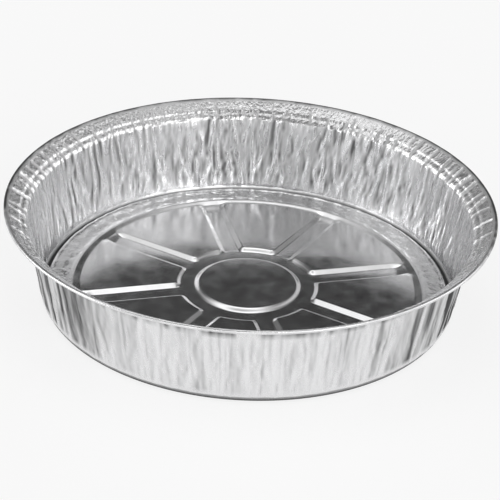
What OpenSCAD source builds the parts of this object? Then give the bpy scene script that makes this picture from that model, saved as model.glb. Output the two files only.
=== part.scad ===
// Round foil pie tin, pressed from one disc of aluminium sheet
// The origin is at the centre of the foot ring, on the surface that the tin stands on

/* [Rim] */
// Diameter over the rolled edge
rim_d = 230; // [200:1:260]
// Height from the table to the top of the rolled edge
height = 46.5; // [35:0.5:60]
// Radial width of the sloping flange, with its rolled edge
flange_w = 10.2; // [7:0.1:14]
// Slope of the flange above level, in degrees
flange_angle = 42; // [20:1:50]
// Height of the crease that runs round the middle of the flange
crease_h = 0.35; // [0:0.05:0.8]
// Diameter of the rolled edge
curl_d = 1.8; // [1.2:0.1:2.6]
// How far the sheet turns in the rolled edge, in degrees
curl_turn = 250; // [120:5:280]

/* [Wall] */
// Thickness of the sheet
sheet = 0.1; // [0.08:0.01:0.2]
// How far the wall leans out between its heel and its mouth
wall_lean = 6; // [3:0.5:12]
// Height of the rounded heel between the foot ring and the wall
heel_h = 2.6; // [1.8:0.1:4]
// Height at which the pleats of the wall reach most of their depth
pleat_start = 13; // [8:0.5:20]
// Number of pleats round the wall and the flange
pleats = 112; // [80:1:120]
// Depth of the deepest pleats in the wall
pleat_depth = 0.8; // [0.2:0.05:1.2]
// Depth of the deepest pleats in the flange
flange_pleat_depth = 0.7; // [0.1:0.05:1]
// Seed of the uneven pleats
pleat_seed = 7; // [1:1:99]

/* [Foot] */
// Width of the flat ring on which the tin stands
foot_w = 1.2; // [0.6:0.1:3]
// Radial width of the heel outside the foot ring
heel_w = 1.2; // [0.6:0.1:3]
// Radial width of the step from the foot ring up to the ledge
step_w = 0.9; // [0.6:0.1:3]

/* [Floor] */
// Height of the grooves above the foot ring
groove_lift = 0.1; // [0:0.05:1]
// Depth of the grooves below the panels
groove_depth = 1.4; // [0.4:0.05:1.6]
// Share of the spoke grooves' depth that is left at their outer ends
groove_fade = 0.1; // [0.1:0.05:1]
// Drop from the ledge to the panels
panel_drop = 0.8; // [0.4:0.1:1.4]
// Rise of each panel in its middle
panel_dome = 0.15; // [0:0.05:1]
// Rise of the hub disc in its middle
hub_dome = 0.4; // [0:0.05:1]
// Width in plan of each pressed slope
slope_w = 2.4; // [1:0.1:3.4]
// Width in plan of the slope from the panels up to the ledge
end_slope_w = 3.2; // [1:0.1:4]
// Radial width of the ledge between the step and the panels
ledge_w = 12; // [6:0.5:20]
// Diameter of the hub disc
hub_d = 49; // [30:1:60]
// Width of the ring groove round the hub
ring_w = 8.6; // [5:0.2:14]
// Number of spoke grooves
spokes = 8; // [5:1:10]
// Width of each spoke groove
spoke_w = 9.4; // [6:0.2:12]
// Angle of the first spoke from the X axis, in degrees
spoke_turn = 15; // [0:1:45]
// How far the corners of the panels are cut back
panel_corner = 3; // [1:0.5:5]

/* [Hidden] */
half = sheet / 2;

// Radii of the bends, from the mouth of the wall inward
mouth_r = rim_d / 2 - flange_w;
heel_r = mouth_r - wall_lean;
foot_out = heel_r - heel_w;
foot_in = foot_out - foot_w;
ledge_out = foot_in - step_w;
panel_out = ledge_out - ledge_w;
hub_r = hub_d / 2;
ring_r = hub_r + ring_w;

// Heights of the middle of the sheet
foot_z = half;
groove_z = foot_z + groove_lift;
panel_z = groove_z + groove_depth;
ledge_z = panel_z + panel_drop;

// The rolled edge is an arc that leaves the flange at its own slope
curl_r = curl_d / 2 - half;
curl_centre = [rim_d / 2 - curl_d / 2, height - curl_d / 2];
curl_steps = 6;
function curl_point(k) =
    let (a = flange_angle + 90 - curl_turn * k / curl_steps)
    curl_centre + curl_r * [cos(a), sin(a)];
flange_end = curl_point(0);
mouth_z = flange_end[1] - (flange_end[0] - mouth_r) * tan(flange_angle);
crease = [(mouth_r + flange_end[0]) / 2, (mouth_z + flange_end[1]) / 2 + crease_h];

// Columns of points: the spokes' four edges come first in each sector, then the panel
panel_columns = 10;
sector_columns = 4 + panel_columns;
floor_columns = spokes * sector_columns;
pleat_columns = 2 * pleats;
rim_columns = 112;
pitch = 360 / spokes;
spoke_top = (spoke_w + slope_w) / 2;
spoke_low = (spoke_w - slope_w) / 2;

function in_groove(c) = c == 1 || c == 2;
function on_edge(c) = c == 0 || c == 3;

// Angle of a floor column where the spokes keep their width, at radius r
function spoke_angle(j, r) =
    let (
        c = j % sector_columns,
        edge = asin(spoke_top / r),
        low = asin(spoke_low / r),
        share = (c - 3) / (sector_columns - 3),
        turn = c == 0 ? -edge : c == 1 ? -low : c == 2 ? low : edge + (pitch - 2 * edge) * share
    )
    spoke_turn + pitch * floor(j / sector_columns) + turn;

// Angle of a column in a ring of evenly spaced columns
function even_angle(j, columns) = spoke_turn + (j - 1.5) * 360 / columns;

function polar(r, a, z) = [r * cos(a), r * sin(a), z];

// Rings of the pressed floor, from the hub outward; side is 1 on top of the sheet and -1 below
function hub_rings(side) = [
    for (edge = [[hub_r - slope_w / 2, panel_z], [hub_r + slope_w / 2, groove_z]])
        [for (j = [0:floor_columns - 1]) polar(edge[0], spoke_angle(j, ring_r), edge[1] + side * half)]
];

function groove_ring(side) = [
    for (j = [0:floor_columns - 1])
        polar(ring_r - slope_w / 2, spoke_angle(j, ring_r), groove_z + side * half)
];

function panel_ring(r, rise, corner, depth, side) = [
    for (j = [0:floor_columns - 1])
        let (
            c = j % sector_columns,
            z = in_groove(c) ? panel_z - depth : on_edge(c) ? panel_z : panel_z + rise,
            cut = in_groove(c) || on_edge(c) ? corner : 0
        )
        polar(r - cut, spoke_angle(j, r), z + side * half)
];

function ledge_ring(r, side) = [
    for (j = [0:floor_columns - 1]) polar(r, spoke_angle(j, r), ledge_z + side * half)
];

function floor_rings(side) =
    let (
        panel_in = ring_r + slope_w / 2,
        panel_end = panel_out - end_slope_w,
        middle = (panel_in + panel_end) / 2
    )
    concat(
        hub_rings(side),
        [
            groove_ring(side),
            panel_ring(panel_in, 0, 0, groove_depth, side),
            panel_ring(middle, panel_dome, 0, groove_depth, side),
            panel_ring((middle + panel_end) / 2, panel_dome, 0, groove_depth, side),
            panel_ring(panel_end, 0, panel_corner, groove_depth * groove_fade, side),
            ledge_ring(panel_out, side)
        ]
    );

// Profile outside the panels: radius, height, columns and share of the pleats' depth
profile = concat(
    [
        [ledge_out, ledge_z, floor_columns, 0],
        [foot_in, foot_z, floor_columns, 0],
        [foot_out, foot_z, floor_columns, 0],
        [heel_r - heel_w / 4, foot_z + heel_h / 3, floor_columns, 0],
        [heel_r, foot_z + heel_h, floor_columns, 0],
        [heel_r + wall_lean * pleat_start / mouth_z, pleat_start, pleat_columns, 0.75 * pleat_depth],
        [mouth_r, mouth_z, pleat_columns, pleat_depth],
        [crease[0], crease[1], pleat_columns, flange_pleat_depth]
    ],
    [for (k = [0:curl_steps]) [curl_point(k)[0], curl_point(k)[1], rim_columns, 0]]
);

// Offset across the sheet at a bend, so that the sheet keeps its thickness on both sides of it
function profile_at(i) = i < 0 ? [panel_out, ledge_z] : [profile[i][0], profile[i][1]];
function square_to(i) =
    let (along = (profile_at(i) - profile_at(i - 1)) / norm(profile_at(i) - profile_at(i - 1)))
    [-along[1], along[0]];
function across(i) =
    let (
        before = square_to(i),
        after = square_to(min(i + 1, len(profile) - 1))
    )
    (before + after) / (1 + before * after);

// Uneven pleats: neighbouring columns stand in and out by turns
depths = rands(0.3, 1, pleat_columns, pleat_seed);
function pleat(j) = (j % 2 == 0 ? 0.5 : -0.5) * depths[j];

function profile_ring(i, side) =
    let (
        station = profile[i],
        n = across(i)
    )
    [
        for (j = [0:station[2] - 1])
            let (shift = side * half + (station[3] == 0 ? 0 : station[3] * pleat(j)))
            polar(station[0] + n[0] * shift, even_angle(j, station[2]), station[1] + n[1] * shift)
    ];

function skin(side) = concat(
    floor_rings(side),
    [for (i = [0:len(profile) - 1]) profile_ring(i, side)]
);

// Triangles between ring a of na points and the next ring b of nb points, first points given
function band(a, na, b, nb) = concat(
    [
        for (i = [0:na - 1])
            let (k = ceil((i + 0.5) * nb / na - 0.5))
            [a + i, a + (i + 1) % na, b + k % nb]
    ],
    [
        for (j = [0:nb - 1])
            let (m = floor((j + 0.5) * na / nb - 0.5) + 1)
            [a + m % na, b + (j + 1) % nb, b + j]
    ]
);

function turned(triangles) = [for (t = triangles) [t[2], t[1], t[0]]];

function flat(lists) = [for (list = lists) each list];

// The whole tin is one closed skin: the top of the sheet, its cut edge and its underside
module tin() {
    top = skin(1);
    under = skin(-1);
    sizes = [for (ring = top) len(ring)];
    last = len(sizes) - 1;
    starts = [for (i = 0, s = 1; i <= last; s = s + sizes[i], i = i + 1) s];
    below = starts[last] + sizes[last];
    top_bands = flat([
        for (i = [0:last - 1]) band(starts[i], sizes[i], starts[i + 1], sizes[i + 1])
    ]);
    under_bands = flat([
        for (i = [0:last - 1])
            band(below + starts[i], sizes[i], below + starts[i + 1], sizes[i + 1])
    ]);
    hub_fan = [for (j = [0:sizes[0] - 1]) [0, 1 + (j + 1) % sizes[0], 1 + j]];
    under_fan = [for (t = hub_fan) [t[0] + below, t[1] + below, t[2] + below]];
    cut_edge = band(starts[last], sizes[last], below + starts[last], sizes[last]);
    color("silver")
        polyhedron(
            points = concat(
                [[0, 0, panel_z + hub_dome + half]],
                flat(top),
                [[0, 0, panel_z + hub_dome - half]],
                flat(under)
            ),
            faces = concat(hub_fan, top_bands, cut_edge, turned(under_bands), turned(under_fan))
        );
}

tin();
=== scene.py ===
"""Foil pie tin: the pressed sheet as a fine mesh, its foil, a pale floor, soft light and a camera."""
import math
import bpy
import numpy as np
from mathutils import Matrix, Vector


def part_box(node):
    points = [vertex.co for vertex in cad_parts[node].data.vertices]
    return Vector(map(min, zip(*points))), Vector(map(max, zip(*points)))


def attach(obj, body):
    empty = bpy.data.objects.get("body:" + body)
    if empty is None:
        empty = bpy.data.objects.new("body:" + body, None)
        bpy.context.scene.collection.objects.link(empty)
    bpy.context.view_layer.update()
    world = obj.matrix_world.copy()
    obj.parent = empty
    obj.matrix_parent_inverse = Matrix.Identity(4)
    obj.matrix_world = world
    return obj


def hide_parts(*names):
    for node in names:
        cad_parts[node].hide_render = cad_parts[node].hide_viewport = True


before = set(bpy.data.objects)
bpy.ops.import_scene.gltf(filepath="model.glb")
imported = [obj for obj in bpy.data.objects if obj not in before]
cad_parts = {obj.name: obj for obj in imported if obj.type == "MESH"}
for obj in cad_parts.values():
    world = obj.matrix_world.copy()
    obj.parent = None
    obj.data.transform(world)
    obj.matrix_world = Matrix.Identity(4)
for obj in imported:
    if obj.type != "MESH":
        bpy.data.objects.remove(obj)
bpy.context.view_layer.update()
tin_low, tin_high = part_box("tin")

# Sizes in metres; the rim and the height come from the frame
MM = 0.001
rim_r = (tin_high[0] - tin_low[0]) / 2
height = tin_high[2]
sheet = 0.1 * MM
flange_w = 10.2 * MM
flange_slope = math.radians(42)
crease_h = 0.35 * MM
curl_d = 1.8 * MM
curl_turn = math.radians(250)
wall_lean = 6 * MM
heel_h = 2.6 * MM
heel_w = 1.2 * MM
foot_w = 1.2 * MM
step_w = 0.9 * MM
ledge_h = 2.3 * MM
ledge_w = 12 * MM

# Sizes of the pressed floor inside the ledge
panel_drop = 0.8 * MM
panel_dome = 0.15 * MM
panel_corner = 5 * MM
panel_inner_corner = 2 * MM
dome_reach = 15 * MM
hub_r = 24.5 * MM
hub_dome = 0.4 * MM
ring_w = 8.6 * MM
spokes = 8
spoke_w = 9.4 * MM
spoke_turn = math.radians(15)
groove_depth = 1.4 * MM
groove_sag = 0.07 * MM
groove_fade = 0.1
groove_fade_w = 8 * MM
slope_w = 2.4 * MM
end_slope_w = 3.2 * MM

# Radii of the rounded bends, from the ledge outward
step_bend = 0.5 * MM
foot_bend = 0.45 * MM
toe_bend = 0.8 * MM
heel_bend = 2.5 * MM
lip_bend = 0.8 * MM

# Pleats, ridges and folds: how many go round the tin, and their depths
pleats = 270
ridges = 190
folds = 100
pleat_depth = 0.8 * MM
fold_depth = 0.9 * MM

# Low relief: the creases and beads that run round the tin, and the unevenness of each part
ledge_crease_r = 88.5 * MM
ledge_crease_h = 0.3 * MM
edge_bead_w = 1.7 * MM
edge_bead_h = 0.4 * MM
edge_bead_gap = 0.35 * MM
lip_h = 0.35 * MM
ridge_h = 0.25 * MM
floor_wave_h = 0.03 * MM
ledge_grain_h = 0.24 * MM
wall_sway_h = 0.2 * MM
flange_grain_h = 0.05 * MM
curl_wave_h = 0.04 * MM

# Radii and heights that follow from the sizes
mouth_r = rim_r - flange_w
heel_r = mouth_r - wall_lean
foot_out = heel_r - heel_w
foot_in = foot_out - foot_w
ledge_out = foot_in - step_w
panel_out = ledge_out - ledge_w
ring_r = hub_r + ring_w
edge_bead_r = ledge_out - edge_bead_gap - edge_bead_w / 2
foot_z = sheet / 2
ledge_z = foot_z + ledge_h
panel_z = ledge_z - panel_drop
pitch = 2 * math.pi / spokes

# Where the floor's rings end and those of the profile go on
ledge_start = panel_out + 1.5 * MM

# Rows of points across the flange, as shares of its width
FLANGE_SHARES = (0.07, 0.14, 0.21, 0.28, 0.33, 0.38, 0.44, 0.56, 0.7, 0.86)

# Rows of points across the bead at the ledge's outer edge, as shares of half its width
BEAD_SHARES = (-0.94, -0.47, 0, 0.47)

# Steps round the rolled edge
CURL_STEPS = 9

# Points beside each pressed slope: how far outside it and inside it they lie
GUARD = 0.25 * MM
INSET = 0.45 * MM

# Columns of points round the tin, from the floor outward
SPOKE_COLUMNS = 13
PANEL_COLUMNS = 17
floor_columns = spokes * (SPOKE_COLUMNS + PANEL_COLUMNS)
ledge_columns = 380
wall_columns = 1060
curl_columns = 320

# Painted shade in the foil's colour, given as the depth that a point seems to have in a fold finer than
# the mesh: between the ridges and in streaks inside the wall, all over its outside, under the lip and
# in the foot's channel
RIDGE_SHADE = 0.12 * MM
STREAK_SHADE = 0.05 * MM
OUTSIDE_SHADE = 0.07 * MM
LIP_SHADE = 0.2 * MM
CHANNEL_SHADE = 0.4 * MM

# Streaks of painted shade outside the wall: how many cells go round the tin, seed and depth
OUTSIDE_STREAKS = ((300, 33, 0.07 * MM), (520, 36, 0.1 * MM))

# Painted shade round the rolled edge, from the flange to its cut edge, for its dark outline
CURL_SHADES = tuple(depth * MM for depth in (0.26, 0.44, 0.44, 0.44, 0.44, 0.44, 0.36, 0.3, 0.3, 0.3))

# Sides where the outside wall is darkened by painted shade in bold stripes: angle, reach and depth of
# shade
PAINTED_SIDE_SHADES = (
    (math.radians(-14), math.radians(24), 0.55 * MM),
    (math.radians(206), math.radians(28), 0.22 * MM),
)

# Depths of painted shade at which a fold starts to darken and is darkest
SHALLOW, DEEP = 0.03 * MM, 0.4 * MM

# Heights above the table over which the painted shadow of the heel's contact fades
CONTACT_LOW, CONTACT_HIGH = 1.6 * MM, 3.2 * MM

# Foil: its tints, its roughness where it is smoothest and roughest, and what the crumpled parts add
FOIL_TINTS = ((0.80, 0.80, 0.81, 1), (0.90, 0.90, 0.905, 1))
FOIL_ROUGHNESS = (0.13, 0.22)
CRUMPLED_ROUGHNESS = 0.05
CRINKLE_H = 0.16 * MM

# Where the painted shade is deepest: the shares of the foil's brightness and metal that are left, and
# the added roughness
PAINTED_SHADE_TONE = 0.07
PAINTED_SHADE_METAL = 0.15
PAINTED_SHADE_ROUGHNESS = 0.5

# How far the floor that the camera and the foil see is lifted toward plain white
WHITE_SHARE = 0.8

# Soft glows: azimuth from the X axis and height above the floor, in degrees, then radiance and focus
GLOWS = {
    "left": (180, 4, 3.7, 12),
    "raised_left": (180, 25, 0.7, 12),
    "back_left": (120, 4, 0.4, 12),
    "back_right": (36, 4, 1.4, 12),
    "right": (0, 25, 1.9, 12),
    "front_left": (252, 4, 2.1, 12),
    "front_right": (304, 22, 2.8, 12),
    "high_left": (200, 45, 0.3, 12),
    "high_back": (97, 65, 1.5, 30),
    "over": (90, 86, 0.8, 30),
    "over_left": (176, 64, 1.1, 30),
    "over_right": (350, 76, 0.7, 30),
}


def smooth(low, high, x):
    """Smooth step from 0 at low to 1 at high."""
    t = np.clip((x - low) / (high - low), 0, 1)
    return t * t * (3 - 2 * t)


def ramp(low, high, x):
    """Straight rise from 0 at low to 1 at high, with short rounded ends."""
    t = np.clip((x - low) / (high - low), 0, 1)
    ends = 0.18
    middle = (t - ends / 2) / (1 - ends)
    near, far = t ** 2 / (2 * ends * (1 - ends)), 1 - (1 - t) ** 2 / (2 * ends * (1 - ends))
    return np.where(t < ends, near, np.where(t > 1 - ends, far, middle))


def noise(turn, along, cells, seed, creased=False):
    """Noise from -1 to 1, with so many cells round the tin: turn is from 0 to 1, along is in cells."""
    rows = 64
    table = np.random.default_rng(seed).uniform(-1, 1, (cells, rows))
    x, y = np.broadcast_arrays((turn % 1.0) * cells, along)
    i, j = np.floor(x).astype(int), np.floor(y).astype(int)
    u, v = x - i, y - j
    v = v * v * (3 - 2 * v)
    if not creased:
        u = u * u * (3 - 2 * u)
    near, far = i % cells, (i + 1) % cells
    low, high = j % rows, (j + 1) % rows
    first = table[near, low] * (1 - u) + table[far, low] * u
    second = table[near, high] * (1 - u) + table[far, high] * u
    return first * (1 - v) + second * v


# The pressed floor

def rounded_min(a, b, radius):
    """The smaller of two distances, with a round corner where both are small."""
    u, v = np.maximum(radius - a, 0), np.maximum(radius - b, 0)
    return np.where((u > 0) & (v > 0), radius - np.hypot(u, v), np.minimum(a, b))


def spoke_side(r, angle):
    """Distance from the side of the nearest spoke, above 0 on a panel."""
    turn = (angle - spoke_turn) % pitch
    turn = np.minimum(turn, pitch - turn)
    return r * np.sin(turn) - spoke_w / 2


def floor_height(r, angle):
    """Height of the middle of the sheet on the floor."""
    half_slope = slope_w / 2
    side = spoke_side(r, angle)
    end = panel_out - end_slope_w / 2 - r
    panel = rounded_min(rounded_min(side, end, panel_corner), r - ring_r, panel_inner_corner)
    raised = ramp(-half_slope, half_slope, panel)
    hub = 1 - ramp(hub_r - half_slope, hub_r + half_slope, r)
    outside = ramp(-end_slope_w / 2, end_slope_w / 2, -end)
    dome = panel_dome * smooth(0, dome_reach, panel) + hub_dome * np.clip(1 - (r / hub_r) ** 2, 0, 1)
    depth = groove_depth * (groove_fade + (1 - groove_fade) * smooth(0, groove_fade_w, end))
    sag = groove_sag * (1 - (side / (spoke_w / 2 - half_slope)) ** 2)
    bottom = panel_z - depth - np.clip(sag, 0, None) * (r > ring_r)
    inner = bottom + (panel_z - bottom) * np.maximum(raised, hub) + dome
    return inner * (1 - outside) + ledge_z * outside


def floor_angles(r):
    """Angles of the floor's columns: they follow the sides of the spokes, and are even on the ledge."""
    reach = min(max(r, ring_r), panel_out)
    low, high = (spoke_w - slope_w) / 2, (spoke_w + slope_w) / 2
    places = np.array([low / 2, low - GUARD, low, low + INSET, high - INSET, high]) / reach
    top = math.asin(high / reach)
    on_spoke = np.arcsin(np.concatenate([-places[::-1], [0], places]))
    guard = top + GUARD / reach
    share = np.arange(PANEL_COLUMNS) / (PANEL_COLUMNS - 1)
    share = 0.6 * (1 - np.cos(math.pi * share)) / 2 + 0.4 * share
    on_panel = guard + (pitch - 2 * guard) * share
    sector = np.concatenate([on_spoke, on_panel])
    uneven = (np.arange(spokes)[:, None] * pitch + sector).ravel()
    even = np.arange(floor_columns) * 2 * math.pi / floor_columns - top
    blend = smooth(panel_out, panel_out + 2.5 * MM, r)
    return spoke_turn + uneven * (1 - blend) + even * blend


def floor_rings():
    """Rings of points on the floor, from the hub to the start of the ledge."""
    slope = np.array([-GUARD - slope_w / 2, -slope_w / 2, INSET - slope_w / 2, 0])
    slope = np.concatenate([slope, -slope[-2::-1]])
    radii = np.concatenate([
        np.linspace(4 * MM, hub_r - slope_w, 5),
        hub_r + slope,
        ring_r + slope,
        [ring_r + 2.2 * MM, ring_r + 3.2 * MM],
        np.linspace(ring_r + 5 * MM, panel_out - panel_corner - 5 * MM, 8),
        panel_out - end_slope_w - np.array([5.4, 4.2, 3.2, 2.2, 1.2]) * MM,
        panel_out - end_slope_w / 2 + slope * end_slope_w / slope_w,
        [ledge_start],
    ])
    rings = []
    for r in radii:
        angle = floor_angles(r)
        x, y = r * np.cos(angle), r * np.sin(angle)
        wave = floor_wave_h * noise(angle / (2 * math.pi), r / (17 * MM), 16, 3) * smooth(0, 15 * MM, r)
        rings.append(np.column_stack([x, y, floor_height(r, angle) + wave]))
    return rings


# The profile from the ledge to the rolled edge

def arc(centre, radius, first, turn, steps):
    """Points along an arc of the profile, from an angle on through a turn."""
    angles = [first + turn * k / steps for k in range(steps + 1)]
    return [centre + radius * np.array([math.cos(angle), math.sin(angle)]) for angle in angles]


def bend(before, corner, after, radius, steps):
    """Points of an arc that rounds a corner of the profile."""
    corner = np.array(corner)
    a, b = np.array(before) - corner, np.array(after) - corner
    a, b = a / np.linalg.norm(a), b / np.linalg.norm(b)
    half = math.acos(np.clip(np.dot(a, b), -1, 1)) / 2
    start, stop = corner + a * radius / math.tan(half), corner + b * radius / math.tan(half)
    centre = corner + (a + b) / np.linalg.norm(a + b) * radius / math.sin(half)
    first, last = (math.atan2(p[1] - centre[1], p[0] - centre[0]) for p in (start, stop))
    turn = (last - first + math.pi) % (2 * math.pi) - math.pi
    return arc(centre, radius, first, turn, steps)


def stretch(start, stop, steps):
    """Points between two points of the profile, without its ends."""
    start, stop = np.array(start), np.array(stop)
    return [start + (stop - start) * k / steps for k in range(1, steps)]


def profile():
    """Stations outside the panels: radius, height, columns and the part of the tin they belong to."""
    curl_r = (curl_d - sheet) / 2
    curl_centre = np.array([rim_r - curl_d / 2, height - curl_d / 2])
    curl = arc(curl_centre, curl_r, flange_slope + math.pi / 2, -curl_turn, CURL_STEPS)
    end = curl[0]
    mouth = (mouth_r, end[1] - (end[0] - mouth_r) * math.tan(flange_slope))
    crease = ((mouth[0] + end[0]) / 2, (mouth[1] + end[1]) / 2 + crease_h)
    corners = [
        (panel_out, ledge_z), (ledge_out, ledge_z), (foot_in, foot_z), (foot_out, foot_z),
        (heel_r, foot_z + heel_h), mouth, crease, tuple(end),
    ]
    step = bend(*corners[0:3], step_bend, 3)
    foot = bend(*corners[1:4], foot_bend, 3)
    toe = bend(*corners[2:5], toe_bend, 3)
    heel = bend(*corners[3:6], heel_bend, 2)
    lip = bend(*corners[4:7], lip_bend, 3)
    bead = [np.array([edge_bead_r + share * edge_bead_w / 2, ledge_z]) for share in BEAD_SHARES]
    ledge = stretch((ledge_start, ledge_z), bead[0], 8) + bead
    stations = [(p, ledge_columns, "ledge") for p in ledge + step + foot + toe + heel]
    stations += [(p, wall_columns, "wall") for p in stretch(heel[-1], lip[0], 12) + lip]
    start, stop = lip[-1], np.array(end)
    for share in FLANGE_SHARES:
        point = start + (stop - start) * share
        point[1] += crease_h * (1 - abs(2 * share - 1))
        stations.append((point, wall_columns, "flange"))
    stations += [(p, curl_columns, "curl") for p in curl]
    return stations, mouth[1]


def boldness(turn):
    """How bold the ridges of the wall are, most at the back and least in front."""
    return 0.35 + 0.65 * smooth(-0.1, 0.6, np.sin(spoke_turn + 2 * math.pi * turn))


def ridge_share(turn, z):
    """Long narrow ridges that wander up the wall, from 0 to 1, where a slow noise is near 0."""
    bent = turn + 0.3 * noise(turn, z / (10 * MM), 130, 17) / ridges
    line = np.clip(1 - np.abs(noise(bent, z / (30 * MM), ridges, 18)) / 0.26, 0, 1)
    return line * smooth(-0.4, 0.2, noise(turn, z / (24 * MM), 150, 19))


def crumple(turn, z):
    """Uneven creased pleats, from about -1 to 1, that wander, fork and fade up the wall."""
    wander = 0.9 * noise(turn, z / (9 * MM), 130, 11) + 0.4 * noise(turn, z / (4 * MM), 300, 12)
    bent = turn + wander / pleats
    coarse = noise(bent, z / (16 * MM), pleats, 13, creased=True)
    middle = noise(bent, z / (7 * MM) + 3, int(1.5 * pleats), 14, creased=True)
    fine = noise(turn, z / (2.8 * MM), int(2.1 * pleats), 15, creased=True)
    swell = 0.75 + 0.45 * noise(turn, z / (18 * MM), 48, 16)
    small = swell * (0.38 * coarse + 0.36 * middle + 0.24 * fine)
    return small + 0.75 * boldness(turn) * ridge_share(turn, z)


def side_share(turn):
    """1 at the left and right sides of the tin, and 0 in front and at the back."""
    return np.abs(np.cos(2 * math.pi * turn + spoke_turn)) ** 3


# The folds across the flange: place, size, end, lean and width of each, bolder at the two sides
dice = np.random.default_rng(7)
fold_turn = (np.arange(folds) + dice.uniform(-0.4, 0.4, folds)) / folds
fold_size = dice.uniform(0.2, 1, folds) ** 1.5
fold_end = dice.uniform(0.3, 0.85, folds)
fold_lean = dice.uniform(-0.5, 0.5, folds) / folds
sideways = side_share(fold_turn)
fold_w = (0.8 + 1.2 * sideways * dice.uniform(0.3, 1.4, folds)) * MM / (2 * math.pi * mouth_r)
fold_size = fold_size * (0.35 + 1.5 * sideways * dice.uniform(0.3, 1.2, folds))
fold_end = fold_end + 0.3 * sideways


def fold_relief(turn, share):
    """Relief of the narrow folds across the flange, at a share of its width; below 0 is on the wall."""
    relief = 0 * turn
    for at, size, end, lean, width in zip(fold_turn, fold_size, fold_end, fold_lean, fold_w):
        fade = 1 - smooth(0.8 * end, end, share) if share > 0 else max(0, 1 + share)
        if fade == 0:
            continue
        away = np.abs((turn - at - lean * max(share, 0) + 0.5) % 1 - 0.5) / width
        relief += size * fade * (0.45 * np.clip(1 - away / 3, 0, 1) - 1.45 * np.clip(1 - away, 0, 1))
    return relief


def dashes(turn):
    """Uneven dashes of painted shade along the fold between the wall and the flange."""
    return 0.5 + 0.5 * noise(turn, 0, 230, 31)


def painted_side_shade(turn, z):
    """Painted shade in bold stripes on the two sides where the outside wall is darkened most."""
    bent = turn + 0.5 * noise(turn, z / (14 * MM), 90, 35) / 170
    stripes = smooth(-0.25, 0.4, noise(bent, z / (30 * MM), 170, 34, creased=True))
    shade = 0 * turn
    for at, reach, depth in PAINTED_SIDE_SHADES:
        away = (turn * 2 * math.pi + spoke_turn - at + math.pi) % (2 * math.pi) - math.pi
        # Painted shade in stripes, strongest at each side's angle
        shade = shade + depth * np.exp(-(away / reach) ** 2) * (0.25 + 0.75 * stripes)
    return shade


def bulge(place, middle, half):
    """Rounded bulge of the profile: 1 at its middle and 0 beyond its half width."""
    return max(0.0, 1 - ((place - middle) / half) ** 2)


def hollow(shift):
    """How far each point of a ring lies below its neighbours; above 0 is a hollow on top."""
    around = sum(np.roll(shift, k) for k in (-4, -2, 2, 4)) / 4
    return around - shift


def streaks(turn, z, cells, seed):
    """Long soft streaks up the wall, from 0 to 1, that carry painted shade."""
    bent = turn + 0.6 * noise(turn, z / (12 * MM), 150, 32) / cells
    return np.clip(noise(bent, z / (26 * MM), cells, seed, creased=True) + 0.1, 0, 1)


def ledge_relief(turn, r, z):
    """Relief of the ledge and the foot, with the painted shade of their top and their underside."""
    on_ledge = (z > ledge_z - 0.1 * MM) * smooth(panel_out, panel_out + 2 * MM, r)
    crease = smooth(ledge_crease_r - 0.7 * MM, ledge_crease_r + 0.7 * MM, r)
    grain = noise(turn, r / (1.4 * MM), 260, 21) + 0.6 * noise(turn, r / (3.5 * MM), 110, 22)
    shift = on_ledge * (ledge_grain_h * grain - ledge_crease_h * (1 - crease))
    shift = shift + edge_bead_h * bulge(r, edge_bead_r, edge_bead_w / 2)
    # Painted shade in the foot's channel
    channel = smooth(foot_in - 0.2 * MM, foot_in + 0.2 * MM, r)
    channel = channel * (1 - smooth(heel_r - 0.8 * MM, heel_r - 0.3 * MM, r))
    return shift, 0 * turn + CHANNEL_SHADE * channel, 0 * turn


def wall_relief(turn, z, mouth_z):
    """Relief of the wall's pleats, with the painted shade of its inside and its outside."""
    bold = boldness(turn)
    grow = smooth(foot_z + 0.7 * heel_h, foot_z + heel_h + 5 * MM, z)
    shift = pleat_depth * grow * (0.6 + 0.4 * bold) * crumple(turn, z)
    shift = shift + wall_sway_h * grow * noise(turn, z / (20 * MM), 90, 23)
    reach = 0.2 + 0.5 * side_share(turn)
    shift = shift + reach * fold_depth * fold_relief(turn, (z - mouth_z) / (4 * MM))
    # Painted shade inside the wall: between the ridges, in streaks and in hollows
    shade = RIDGE_SHADE * (1 - ridge_share(turn, z)) + STREAK_SHADE * streaks(turn, z, 430, 37)
    shade = shade * grow * bold + 0.5 * np.minimum(hollow(shift), 0.35 * MM)
    # Painted shade outside the wall: all over, on two sides, in streaks and under the lip
    under = OUTSIDE_SHADE + painted_side_shade(turn, z) - 0.2 * hollow(shift)
    for cells, seed, depth in OUTSIDE_STREAKS:
        under = under + depth * streaks(turn, z, cells, seed)
    under = under + LIP_SHADE * smooth(mouth_z - 0.9 * MM, mouth_z - 0.5 * MM, z) * dashes(turn)
    return shift, shade, under


def flange_relief(turn, r, mouth_z):
    """Relief of the flange, where the pleats fade and the folds cross it, with its painted shade."""
    share = (r - mouth_r) / flange_w
    shift = 0.5 * pleat_depth * crumple(turn, mouth_z + (r - mouth_r) * 1.5)
    shift = shift * (1 - 0.8 * smooth(0.3, 0.6, share)) + fold_depth * fold_relief(turn, share)
    shift = shift + lip_h * bulge(share, 0.12, 0.14) + ridge_h * bulge(share, 0.36, 0.07)
    shift = shift + flange_grain_h * noise(turn, share * 6, 330, 25)
    # Painted shade in the flange's hollows and at its outer end
    shade = np.minimum(hollow(shift), 0.2 * MM) + 0.3 * CURL_SHADES[0] * smooth(0.8, 1, share)
    return shift, shade, 0 * turn


def curl_relief(turn, station, step):
    """Relief of the rolled edge at a station of the profile, with its painted shade, which is less in
    front.
    """
    shift = curl_wave_h * noise(turn, station * 0.5, 160, 24)
    behind = 0.25 + 0.75 * smooth(-0.6, 0.1, np.sin(spoke_turn + 2 * math.pi * turn))
    return shift, CURL_SHADES[step] * (0.7 + 0.6 * dashes(turn)) * behind, 0 * turn


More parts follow.
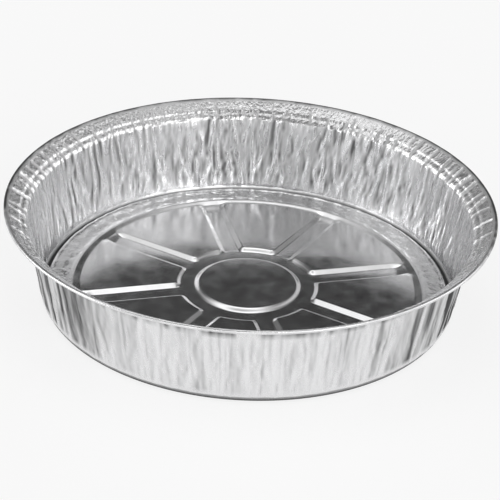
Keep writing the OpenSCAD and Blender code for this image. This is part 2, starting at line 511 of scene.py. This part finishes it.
def profile_rings():
    """Rings of points outside the panels, with the painted shade of each point inside and outside the
    tin.
    """
    stations, mouth_z = profile()
    first_curl = len(stations) - CURL_STEPS - 1
    rings, inside, outside = [], [], []
    for k, (point, columns, part) in enumerate(stations):
        before = stations[max(k - 1, 0)][0]
        after = stations[min(k + 1, len(stations) - 1)][0]
        along = (after - before) / np.linalg.norm(after - before)
        turn = np.arange(columns) / columns
        r, z = point
        if part == "ledge":
            shift, shade, under = ledge_relief(turn, r, z)
        elif part == "wall":
            shift, shade, under = wall_relief(turn, z, mouth_z)
        elif part == "flange":
            shift, shade, under = flange_relief(turn, r, mouth_z)
        else:
            shift, shade, under = curl_relief(turn, k, k - first_curl)
        angle = spoke_turn + 2 * math.pi * turn
        rr, zz = r - along[1] * shift, z + along[0] * shift
        rings.append(np.column_stack([rr * np.cos(angle), rr * np.sin(angle), zz]))
        inside.append(shade)
        outside.append(under)
    return rings, np.concatenate(inside), np.concatenate(outside)


# The mesh

def band(a, na, b, nb):
    """Triangles between ring a of na points and ring b of nb points outside it, seen from above."""
    i, j = np.arange(na), np.arange(nb)
    k = np.ceil((i + 0.5) * nb / na - 0.5).astype(int)
    m = np.floor((j + 0.5) * na / nb - 0.5).astype(int) + 1
    inner = np.column_stack([a + i, b + k % nb, a + (i + 1) % na])
    outer = np.column_stack([a + m % na, b + j, b + (j + 1) % nb])
    return np.concatenate([inner, outer])


def vertex_normals(points, triangles):
    """Normals of a mesh's points, from the triangles round each."""
    corner = points[triangles]
    face = np.cross(corner[:, 1] - corner[:, 0], corner[:, 2] - corner[:, 0])
    normals = np.zeros_like(points)
    for c in range(3):
        np.add.at(normals, triangles[:, c], face)
    return normals / np.linalg.norm(normals, axis=1, keepdims=True)


def foil_mesh():
    """The sheet as one closed mesh: its top, its cut edge inside the rolled rim, and its underside."""
    outer_rings, inside, outside = profile_rings()
    rings = floor_rings() + outer_rings
    hub = np.array([[0, 0, panel_z + hub_dome]])
    starts = np.cumsum([1] + [len(ring) for ring in rings])
    middle = np.concatenate([hub] + rings)
    first = np.arange(floor_columns)
    fan = np.column_stack([0 * first, 1 + first, 1 + (first + 1) % floor_columns])
    bands = [band(starts[k], len(rings[k]), starts[k + 1], len(rings[k + 1]))
             for k in range(len(rings) - 1)]
    top = np.concatenate([fan] + bands)
    normals = vertex_normals(middle, top)
    points = np.concatenate([middle + normals * sheet / 2, middle - normals * sheet / 2])
    flat_part = np.zeros(len(middle) - len(inside))
    shades = np.concatenate([flat_part, inside, flat_part, outside])
    below = len(middle)
    last = len(rings) - 1
    edge = band(starts[last], len(rings[last]), below + starts[last], len(rings[last]))
    return points, np.concatenate([top, edge, top[:, ::-1] + below]), shades


def crumpled_share(points):
    """How crumpled the foil is: hardly on the panels, more on the ledge, fully on the wall."""
    r = np.hypot(points[:, 0], points[:, 1])
    ledge = 0.6 * smooth(panel_out, panel_out + 2 * MM, r)
    wall = 0.4 * smooth(heel_r, heel_r + 0.8 * MM, r)
    rolled = 0.6 * smooth(rim_r - 2 * MM, rim_r - 1.2 * MM, r)
    return 0.04 + ledge + wall - rolled


def painted_shade_share(points, shades):
    """How much painted shade darkens each point: 0 in the open, 1 in the deepest folds and at the
    table.
    """
    r, z = np.hypot(points[:, 0], points[:, 1]), points[:, 2]
    below = np.arange(len(points)) >= len(points) // 2
    contact = (1 - smooth(CONTACT_LOW, CONTACT_HIGH, z)) * (r > foot_out - 0.6 * MM) * below
    # Painted shade from the folds' shade depths, and a painted contact shadow low on the heel
    return np.maximum(smooth(SHALLOW, DEEP, shades), contact)


def add_mesh(name, points, triangles):
    """A smooth-shaded object in the scene from arrays of points and triangles."""
    mesh = bpy.data.meshes.new(name)
    mesh.vertices.add(len(points))
    mesh.vertices.foreach_set("co", points.astype(np.float32).ravel())
    mesh.loops.add(triangles.size)
    mesh.loops.foreach_set("vertex_index", triangles.astype(np.int32).ravel())
    mesh.polygons.add(len(triangles))
    mesh.polygons.foreach_set("loop_start", np.arange(len(triangles), dtype=np.int32) * 3)
    mesh.update()
    mesh.validate()
    mesh.polygons.foreach_set("use_smooth", np.ones(len(triangles), bool))
    piece = bpy.data.objects.new(name, mesh)
    bpy.context.collection.objects.link(piece)
    return piece


# Materials

def math_node(tree, operation, *values):
    """The result of a math node, each of whose values is a number or another node's output."""
    node = tree.nodes.new("ShaderNodeMath")
    node.operation = operation
    for socket, value in zip(node.inputs, values):
        if isinstance(value, (int, float)):
            socket.default_value = value
        else:
            tree.links.new(value, socket)
    return node.outputs["Value"]


def range_node(tree, value, low, high, start=0.0, stop=1.0):
    """A value mapped from the range start to stop onto low to high."""
    node = tree.nodes.new("ShaderNodeMapRange")
    for socket, number in (("From Min", start), ("From Max", stop), ("To Min", low), ("To Max", high)):
        node.inputs[socket].default_value = number
    tree.links.new(value, node.inputs["Value"])
    return node.outputs["Result"]


def noise_node(tree, vector, scale, detail):
    """Soft noise of so many cells to the metre."""
    node = tree.nodes.new("ShaderNodeTexNoise")
    node.inputs["Scale"].default_value = scale
    node.inputs["Detail"].default_value = detail
    tree.links.new(vector, node.inputs["Vector"])
    return node.outputs["Fac"]


def attribute_node(tree, name):
    """A number that the mesh holds for each of its points."""
    node = tree.nodes.new("ShaderNodeAttribute")
    node.attribute_name = name
    return node.outputs["Fac"]


def foil_material():
    """Bright foil: mottled gloss, fine crinkles off the flat panels, and painted shade that makes folds
    dull and dark.
    """
    material = bpy.data.materials.new("foil")
    material.use_nodes = True
    tree = material.node_tree
    nodes, links = tree.nodes, tree.links
    shader = nodes["Principled BSDF"]
    shader.inputs["Specular IOR Level"].default_value = 0.1
    place = nodes.new("ShaderNodeTexCoord").outputs["Object"]
    crumpled = attribute_node(tree, "crumpled")
    painted_shade = attribute_node(tree, "painted_shade")

    tint = nodes.new("ShaderNodeValToRGB")
    for element, colour in zip(tint.color_ramp.elements, FOIL_TINTS):
        element.color = colour
    links.new(noise_node(tree, place, 90, 3), tint.inputs["Fac"])
    shaded = nodes.new("ShaderNodeVectorMath")
    shaded.operation = "SCALE"
    links.new(tint.outputs["Color"], shaded.inputs[0])
    # Painted shade darkens the foil's colour, takes away its metal and dulls it
    links.new(range_node(tree, painted_shade, 1.0, PAINTED_SHADE_TONE), shaded.inputs["Scale"])
    links.new(shaded.outputs["Vector"], shader.inputs["Base Color"])
    links.new(range_node(tree, painted_shade, 1.0, PAINTED_SHADE_METAL), shader.inputs["Metallic"])

    smoothest, roughest = FOIL_ROUGHNESS
    gloss = range_node(tree, noise_node(tree, place, 140, 4), smoothest, roughest, 0.3, 0.7)
    worked = math_node(tree, "MULTIPLY_ADD", crumpled, CRUMPLED_ROUGHNESS, gloss)
    dull = math_node(tree, "MULTIPLY_ADD", painted_shade, PAINTED_SHADE_ROUGHNESS, worked)
    links.new(dull, shader.inputs["Roughness"])

    stretched = nodes.new("ShaderNodeMapping")
    stretched.inputs["Scale"].default_value = (1, 1, 0.16)
    links.new(place, stretched.inputs["Vector"])
    cells = nodes.new("ShaderNodeTexVoronoi")
    cells.inputs["Scale"].default_value = 650
    links.new(stretched.outputs["Vector"], cells.inputs["Vector"])
    grain = noise_node(tree, stretched.outputs["Vector"], 1300, 2)
    bump = nodes.new("ShaderNodeBump")
    bump.inputs["Distance"].default_value = CRINKLE_H
    links.new(crumpled, bump.inputs["Strength"])
    links.new(math_node(tree, "ADD", cells.outputs["Distance"], grain), bump.inputs["Height"])
    links.new(bump.outputs["Normal"], shader.inputs["Normal"])
    return material


def floor_material():
    """Pale floor, lifted toward white where the camera and the foil see it, that keeps its shadow."""
    material = bpy.data.materials.new("pale_floor")
    material.use_nodes = True
    tree = material.node_tree
    nodes, links = tree.nodes, tree.links
    shader = nodes["Principled BSDF"]
    shader.inputs["Base Color"].default_value = (0.88, 0.88, 0.88, 1)
    shader.inputs["Roughness"].default_value = 1.0
    shader.inputs["Specular IOR Level"].default_value = 0.0
    path = nodes.new("ShaderNodeLightPath")
    seen = math_node(tree, "ADD", path.outputs["Is Camera Ray"], path.outputs["Is Glossy Ray"])
    through = math_node(tree, "ADD", seen, path.outputs["Is Transmission Ray"])
    share = math_node(tree, "MULTIPLY", through, WHITE_SHARE)
    share.node.use_clamp = True
    white = nodes.new("ShaderNodeEmission")
    mix = nodes.new("ShaderNodeMixShader")
    links.new(share, mix.inputs["Fac"])
    links.new(shader.outputs["BSDF"], mix.inputs[1])
    links.new(white.outputs["Emission"], mix.inputs[2])
    links.new(mix.outputs["Shader"], nodes["Material Output"].inputs["Surface"])
    return material


# The scene round the tin

def add_stage():
    """A wide pale floor under the tin."""
    size = 3.0
    points = np.array([[-size, -size, 0], [size, -size, 0], [size, size, 0], [-size, size, 0]])
    ground = add_mesh("floor", points, np.array([[0, 1, 2], [0, 2, 3]]))
    ground.data.materials.append(floor_material())


def add_light():
    """Soft glows in a dark room: strong ones low at the left and in front, fainter ones overhead."""
    world = bpy.data.worlds.new("studio")
    bpy.context.scene.world = world
    world.use_nodes = True
    tree = world.node_tree
    nodes, links = tree.nodes, tree.links
    ray = nodes.new("ShaderNodeTexCoord").outputs["Generated"]
    total = 0.0
    for name, (azimuth, elevation, radiance, focus) in GLOWS.items():
        turn, rise = math.radians(azimuth), math.radians(elevation)
        toward = nodes.new("ShaderNodeVectorMath")
        toward.name = name
        toward.operation = "DOT_PRODUCT"
        toward.inputs[1].default_value = (
            math.cos(rise) * math.cos(turn), math.cos(rise) * math.sin(turn), math.sin(rise))
        links.new(ray, toward.inputs[0])
        fall = math_node(tree, "MULTIPLY_ADD", toward.outputs["Value"], focus, -focus)
        total = math_node(tree, "MULTIPLY_ADD", math_node(tree, "EXPONENT", fall), radiance, total)
    links.new(total, nodes["Background"].inputs["Strength"])
    nodes["Background"].inputs["Color"].default_value = (1, 1, 1, 1)


def add_camera():
    """The camera that was fitted to the photograph's outlines, for a picture 500 pixels wide."""
    distance = 0.830
    elevation = math.radians(29.61)
    roll = math.radians(2.67)
    focal_pixels = 1745
    picture_pixels = 500
    target = Vector((0.0004, 0, 0.01966))
    back = Vector((0, -math.cos(elevation), math.sin(elevation)))
    level = Vector((1, 0, 0))
    rise = back.cross(level)
    right = math.cos(roll) * level + math.sin(roll) * rise
    up = -math.sin(roll) * level + math.cos(roll) * rise
    camera = bpy.data.cameras.new("camera")
    camera.sensor_width = 36
    camera.lens = focal_pixels / picture_pixels * camera.sensor_width
    holder = bpy.data.objects.new("camera", camera)
    bpy.context.collection.objects.link(holder)
    place = target + distance * back
    rows = [[right[k], up[k], back[k], place[k]] for k in range(3)]
    holder.matrix_world = Matrix(rows + [[0, 0, 0, 1]])
    bpy.context.scene.camera = holder


add_camera()
points, triangles, shades = foil_mesh()
tin = add_mesh("pressed_foil", points, triangles)
crumpled = tin.data.attributes.new("crumpled", "FLOAT", "POINT")
crumpled.data.foreach_set("value", crumpled_share(points).astype(np.float32))
# Painted shade for each point, read by the foil's material
painted_shade_layer = tin.data.attributes.new("painted_shade", "FLOAT", "POINT")
painted_shade_layer.data.foreach_set("value", painted_shade_share(points, shades).astype(np.float32))
tin.data.materials.append(foil_material())
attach(tin, "root")
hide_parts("tin")
add_stage()
add_light()
bpy.context.scene.view_settings.view_transform = "Standard"
